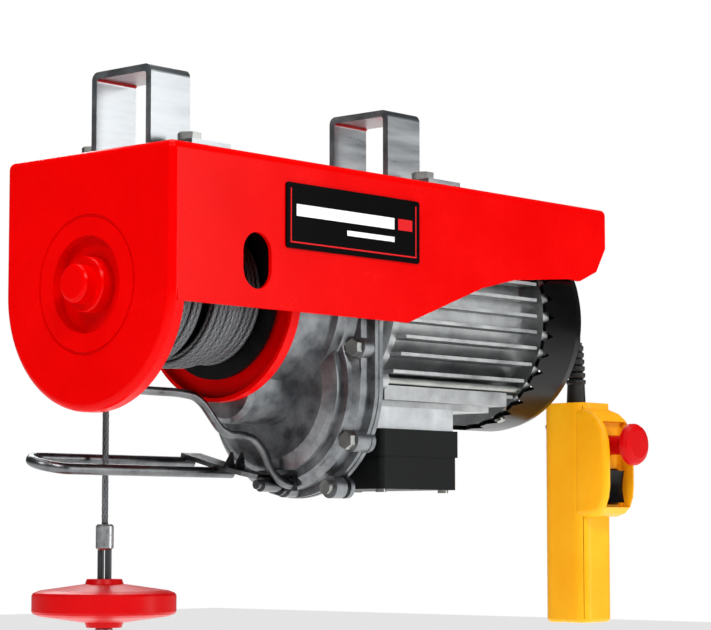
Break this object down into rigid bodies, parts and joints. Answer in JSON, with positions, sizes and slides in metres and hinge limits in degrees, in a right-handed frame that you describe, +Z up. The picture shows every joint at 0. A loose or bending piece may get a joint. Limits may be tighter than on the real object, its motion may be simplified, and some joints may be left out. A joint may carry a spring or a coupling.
{
  "type": "electric wire-rope hoist",
  "caption": "Beam-mounted electric wire-rope hoist: red folded housing, rope drum, gearbox, finned motor, limit levers, rope end with hook and stop disc, pulley block and handset",
  "frame": {"origin": "on the housing's top face, midway between the two beam clamps", "axes": "+X towards the motor's fan, +Y away from the badge side, +Z up"},
  "size_m": [0.4966, 0.1665, 0.6305],
  "materials": {
    "red_powder_coat": "glossy powder coat",
    "zinc_plate": "bright zinc plate",
    "black_badge": "gloss black badge",
    "cast_aluminium": "as-cast, satin",
    "stator_steel": "laminated steel and varnished copper",
    "turned_steel": "turned steel",
    "drum_steel": "black phosphate",
    "wire_rope": "galvanised wire strand",
    "black_plastic": "moulded, fine grain",
    "lever_steel": "oiled steel",
    "ferrule_aluminium": "pressed aluminium",
    "crimson_plastic": "gloss moulded",
    "forged_zinc": "forged, zinc plated",
    "black_sheave": "black cast iron",
    "yellow_plastic": "yellow ABS",
    "black_rubber": "black rubber"
  },
  "bodies": {
    "hoist_frame": {"housing_channel": "red_powder_coat", "drum_end_plate": "red_powder_coat", "gearbox_end_plate": "red_powder_coat", "clamp_left": "zinc_plate", "clamp_right": "zinc_plate", "clamp_bolts": "zinc_plate", "clamp_washers": "zinc_plate", "clamp_nuts": "zinc_plate", "gearbox_bolts": "zinc_plate", "tie_rods": "zinc_plate", "cover_screws": "zinc_plate", "box_bracket": "zinc_plate", "badge_plate": "black_badge", "gearbox_housing": "cast_aluminium", "gearbox_cover": "cast_aluminium", "motor_front_shield": "cast_aluminium", "motor_housing": "cast_aluminium", "motor_rear_shield": "cast_aluminium", "motor_stator": "stator_steel", "bearings": "turned_steel", "fan_cover": "black_plastic", "box_base": "black_plastic", "box_lid": "black_plastic", "terminal_block": "black_plastic", "limit_switch": "black_plastic", "switch_block": "black_plastic", "capacitor": "black_plastic", "mains_gland": "black_plastic", "pendant_gland": "black_plastic", "pendant_front_shell": "yellow_plastic", "pendant_rear_shell": "yellow_plastic", "pendant_boot": "black_rubber", "pendant_cable_upper": "black_rubber", "pendant_cable_coil": "black_rubber", "pendant_cable_lower": "black_rubber", "cable_tie": "black_rubber"},
    "rotor_group": {"rotor": "stator_steel", "motor_pinion": "turned_steel", "fan": "black_plastic"},
    "idler_group": {"idler_shaft": "turned_steel", "idler_gear": "turned_steel"},
    "drum_group": {"drum": "drum_steel", "drum_shaft": "turned_steel", "drum_gear": "turned_steel", "rope_windings": "wire_rope"},
    "rope_end": {"rope_line": "wire_rope", "rope_ferrules": "ferrule_aluminium", "rope_eyes": "wire_rope", "stop_disc": "crimson_plastic"},
    "load_hook_body": {"load_hook": "forged_zinc"},
    "load_latch_body": {"load_hook_latch": "forged_zinc"},
    "block_hook_body": {"block_hook": "forged_zinc"},
    "block_latch_body": {"block_hook_latch": "forged_zinc"},
    "pulley_block": {"block_cheeks": "forged_zinc", "block_bolts": "forged_zinc"},
    "sheave_body": {"sheave": "black_sheave"},
    "limit_lever_body": {"upper_limit_lever": "lever_steel"},
    "slack_lever_body": {"slack_rope_lever": "lever_steel"},
    "rocker_body": {"rocker_switch": "black_plastic"},
    "stop_body": {"stop_button": "crimson_plastic"}
  },
  "joints": [
    {"name": "motor_spin", "type": "hinge", "parent": "hoist_frame", "child": "rotor_group", "pos_m": [0.1, 0, -0.081], "axis": [1, 0, 0], "range_deg": [-7390.74, 2955.99]},
    {"name": "idler_spin", "type": "hinge", "parent": "hoist_frame", "child": "idler_group", "pos_m": [0, 0, -0.136], "axis": [1, 0, 0], "range_deg": [-432.08, 1078.82]},
    {"name": "drum_spin", "type": "hinge", "parent": "hoist_frame", "child": "drum_group", "pos_m": [-0.09, 0, -0.081], "axis": [1, 0, 0], "range_deg": [-187.82, 75.72]},
    {"name": "hoist_travel", "type": "slide", "parent": "hoist_frame", "child": "rope_end", "axis": [0, 0, 1], "range_m": [-0.151, 0.061], "deforming": ["rope_line"]},
    {"name": "load_hook_swing", "type": "hinge", "parent": "rope_end", "child": "load_hook_body", "pos_m": [-0.094, 0.046, -0.3435], "axis": [0, 1, 0], "range_deg": [-25, 25]},
    {"name": "load_latch_pivot", "type": "hinge", "parent": "load_hook_body", "child": "load_latch_body", "pos_m": [-0.1015, 0.046, -0.3645], "axis": [0, 1, 0], "range_deg": [-38, 0], "stiffness_Nm_per_rad": 0.02, "springref_deg": 17.19},
    {"name": "block_hook_swing", "type": "hinge", "parent": "load_hook_body", "child": "block_hook_body", "pos_m": [-0.097, 0.046, -0.4195], "axis": [1, 0, 0], "range_deg": [-15, 15]},
    {"name": "block_latch_pivot", "type": "hinge", "parent": "block_hook_body", "child": "block_latch_body", "pos_m": [-0.097, 0.055, -0.4692], "axis": [1, 0, 0], "range_deg": [0, 28], "stiffness_Nm_per_rad": 0.02, "springref_deg": -17.19},
    {"name": "pulley_block_swing", "type": "hinge", "parent": "block_hook_body", "child": "pulley_block", "pos_m": [-0.097, 0.046, -0.4922], "axis": [1, 0, 0], "range_deg": [-20, 20]},
    {"name": "sheave_spin", "type": "hinge", "parent": "pulley_block", "child": "sheave_body", "pos_m": [-0.097, 0.046, -0.547], "axis": [1, 0, 0], "continuous": true},
    {"name": "limit_lever_lift", "type": "hinge", "parent": "hoist_frame", "child": "limit_lever_body", "pos_m": [0.01, 0, -0.1985], "axis": [1, 0, 0], "range_deg": [0, 8], "stiffness_Nm_per_rad": 0.2, "springref_deg": -51.57},
    {"name": "slack_lever_swing", "type": "hinge", "parent": "hoist_frame", "child": "slack_lever_body", "pos_m": [0.017, 0, -0.1985], "axis": [1, 0, 0], "range_deg": [-5, 5], "stiffness_Nm_per_rad": 0.3},
    {"name": "rocker_tilt", "type": "hinge", "parent": "hoist_frame", "child": "rocker_body", "pos_m": [0.3136, -0.0465, -0.196], "axis": [1, 0, 0], "range_deg": [-6, 6], "stiffness_Nm_per_rad": 0.5},
    {"name": "stop_press", "type": "slide", "parent": "hoist_frame", "child": "stop_body", "axis": [0, 1, 0], "range_m": [0, 0.004], "stiffness_N_per_m": 400, "springref_m": -0.002}
  ],
  "couplings": [
    {"joint": "idler_spin", "follows": "motor_spin", "ratio": -0.14583},
    {"joint": "drum_spin", "follows": "motor_spin", "ratio": 0.025278},
    {"joint": "hoist_travel", "follows": "motor_spin", "m_per_rad": 0.0011628}
  ]
}
